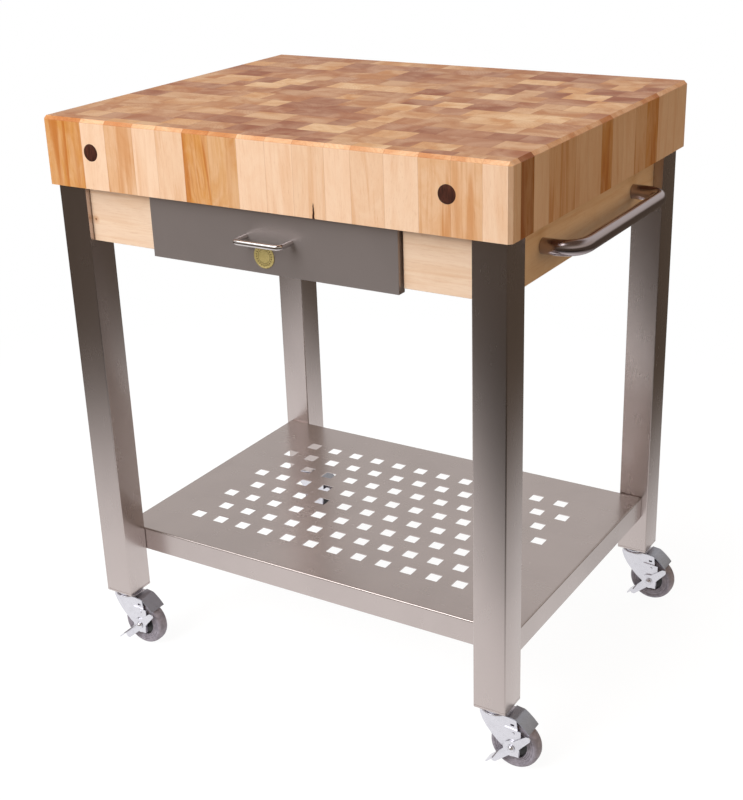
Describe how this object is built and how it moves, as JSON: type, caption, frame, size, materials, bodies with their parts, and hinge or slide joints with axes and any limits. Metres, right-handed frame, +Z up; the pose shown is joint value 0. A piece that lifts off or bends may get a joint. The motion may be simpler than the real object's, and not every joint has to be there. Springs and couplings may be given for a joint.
{
  "type": "kitchen island cart",
  "caption": "Rolling kitchen island: thick end-grain maple block on square steel legs, with a shallow drawer, side towel bar, perforated lower shelf and braked swivel casters.",
  "frame": {"origin": "on the floor, under the centre of the cart's overall footprint", "axes": "+Z up, +X along the front towards the towel bar, +Y towards the back; the drawer opens towards -Y"},
  "size_m": [0.7976, 0.631, 0.8919],
  "materials": {
    "maple": "oiled hard maple, end grain on the block's top",
    "walnut": "oiled walnut plug, end grain",
    "brushed_steel": "brushed stainless steel, satin",
    "polished_steel": "polished stainless steel",
    "zinc": "bright zinc plate",
    "tyre_rubber": "matte grey rubber",
    "black_plastic": "moulded black plastic",
    "gilt": "satin gilt disc with plain rings"
  },
  "bodies": {
    "cart_frame": {"butcher_block": "maple", "tie_rod_left": "zinc", "front_plug_left": "walnut", "back_plug_left": "walnut", "tie_rod_right": "zinc", "front_plug_right": "walnut", "back_plug_right": "walnut", "leg_front_left": "brushed_steel", "leg_front_right": "brushed_steel", "leg_back_left": "brushed_steel", "leg_back_right": "brushed_steel", "front_apron_left": "maple", "front_apron_right": "maple", "back_apron": "maple", "side_apron_left": "maple", "side_apron_right": "maple", "drawer_runner_left": "brushed_steel", "drawer_runner_right": "brushed_steel", "towel_bar": "polished_steel", "towel_bar_bolt_front": "zinc", "towel_bar_bolt_back": "zinc", "shelf": "brushed_steel", "shelf_bolt_front_left": "zinc", "shelf_bolt_front_right": "zinc", "shelf_bolt_back_left": "zinc", "shelf_bolt_back_right": "zinc", "caster_stem_front_left": "zinc", "caster_stem_front_right": "zinc", "caster_stem_back_left": "zinc", "caster_stem_back_right": "zinc"},
    "drawer": {"drawer_front": "brushed_steel", "drawer_pan": "brushed_steel", "drawer_handle": "polished_steel", "drawer_badge": "gilt", "handle_screw_left": "zinc", "handle_screw_right": "zinc"},
    "fork_front_left": {"caster_fork_front_left": "zinc", "wheel_axle_front_left": "zinc"},
    "wheel_front_left": {"wheel_core_front_left": "black_plastic", "wheel_tread_front_left": "tyre_rubber"},
    "lever_front_left": {"brake_lever_front_left": "zinc"},
    "shoe_front_left": {"brake_shoe_front_left": "zinc"},
    "fork_front_right": {"caster_fork_front_right": "zinc", "wheel_axle_front_right": "zinc"},
    "wheel_front_right": {"wheel_core_front_right": "black_plastic", "wheel_tread_front_right": "tyre_rubber"},
    "lever_front_right": {"brake_lever_front_right": "zinc"},
    "shoe_front_right": {"brake_shoe_front_right": "zinc"},
    "fork_back_left": {"caster_fork_back_left": "zinc", "wheel_axle_back_left": "zinc"},
    "wheel_back_left": {"wheel_core_back_left": "black_plastic", "wheel_tread_back_left": "tyre_rubber"},
    "lever_back_left": {"brake_lever_back_left": "zinc"},
    "shoe_back_left": {"brake_shoe_back_left": "zinc"},
    "fork_back_right": {"caster_fork_back_right": "zinc", "wheel_axle_back_right": "zinc"},
    "wheel_back_right": {"wheel_core_back_right": "black_plastic", "wheel_tread_back_right": "tyre_rubber"},
    "lever_back_right": {"brake_lever_back_right": "zinc"},
    "shoe_back_right": {"brake_shoe_back_right": "zinc"}
  },
  "joints": [
    {"name": "drawer_slide", "type": "slide", "parent": "cart_frame", "child": "drawer", "axis": [0, -1, 0], "range_m": [0, 0.33]},
    {"name": "swivel_front_left", "type": "hinge", "parent": "cart_frame", "child": "fork_front_left", "pos_m": [-0.36385, -0.25905, 0.088], "axis": [0, 0, 1], "continuous": true},
    {"name": "wheel_spin_front_left", "type": "hinge", "parent": "fork_front_left", "child": "wheel_front_left", "pos_m": [-0.33185, -0.25905, 0.0381], "axis": [0, 1, 0], "continuous": true},
    {"name": "brake_lever_front_left", "type": "hinge", "parent": "fork_front_left", "child": "lever_front_left", "pos_m": [-0.33185, -0.25905, 0.0381], "axis": [0, 1, 0], "range_deg": [0, 25]},
    {"name": "brake_shoe_front_left", "type": "hinge", "parent": "fork_front_left", "child": "shoe_front_left", "pos_m": [-0.33985, -0.25905, 0.0881], "axis": [0, 1, 0], "range_deg": [-2, 0]},
    {"name": "swivel_front_right", "type": "hinge", "parent": "cart_frame", "child": "fork_front_right", "pos_m": [0.32815, -0.25905, 0.088], "axis": [0, 0, 1], "continuous": true},
    {"name": "wheel_spin_front_right", "type": "hinge", "parent": "fork_front_right", "child": "wheel_front_right", "pos_m": [0.36015, -0.25905, 0.0381], "axis": [0, 1, 0], "continuous": true},
    {"name": "brake_lever_front_right", "type": "hinge", "parent": "fork_front_right", "child": "lever_front_right", "pos_m": [0.36015, -0.25905, 0.0381], "axis": [0, 1, 0], "range_deg": [0, 25]},
    {"name": "brake_shoe_front_right", "type": "hinge", "parent": "fork_front_right", "child": "shoe_front_right", "pos_m": [0.35215, -0.25905, 0.0881], "axis": [0, 1, 0], "range_deg": [-2, 0]},
    {"name": "swivel_back_left", "type": "hinge", "parent": "cart_frame", "child": "fork_back_left", "pos_m": [-0.36385, 0.28055, 0.088], "axis": [0, 0, 1], "continuous": true},
    {"name": "wheel_spin_back_left", "type": "hinge", "parent": "fork_back_left", "child": "wheel_back_left", "pos_m": [-0.33185, 0.28055, 0.0381], "axis": [0, 1, 0], "continuous": true},
    {"name": "brake_lever_back_left", "type": "hinge", "parent": "fork_back_left", "child": "lever_back_left", "pos_m": [-0.33185, 0.28055, 0.0381], "axis": [0, 1, 0], "range_deg": [0, 25]},
    {"name": "brake_shoe_back_left", "type": "hinge", "parent": "fork_back_left", "child": "shoe_back_left", "pos_m": [-0.33985, 0.28055, 0.0881], "axis": [0, 1, 0], "range_deg": [-2, 0]},
    {"name": "swivel_back_right", "type": "hinge", "parent": "cart_frame", "child": "fork_back_right", "pos_m": [0.32815, 0.28055, 0.088], "axis": [0, 0, 1], "continuous": true},
    {"name": "wheel_spin_back_right", "type": "hinge", "parent": "fork_back_right", "child": "wheel_back_right", "pos_m": [0.36015, 0.28055, 0.0381], "axis": [0, 1, 0], "continuous": true},
    {"name": "brake_lever_back_right", "type": "hinge", "parent": "fork_back_right", "child": "lever_back_right", "pos_m": [0.36015, 0.28055, 0.0381], "axis": [0, 1, 0], "range_deg": [0, 25]},
    {"name": "brake_shoe_back_right", "type": "hinge", "parent": "fork_back_right", "child": "shoe_back_right", "pos_m": [0.35215, 0.28055, 0.0881], "axis": [0, 1, 0], "range_deg": [-2, 0]}
  ],
  "couplings": [
    {"joint": "brake_shoe_front_left", "follows": "brake_lever_front_left", "ratio": -0.08},
    {"joint": "brake_shoe_front_right", "follows": "brake_lever_front_right", "ratio": -0.08},
    {"joint": "brake_shoe_back_left", "follows": "brake_lever_back_left", "ratio": -0.08},
    {"joint": "brake_shoe_back_right", "follows": "brake_lever_back_right", "ratio": -0.08}
  ]
}
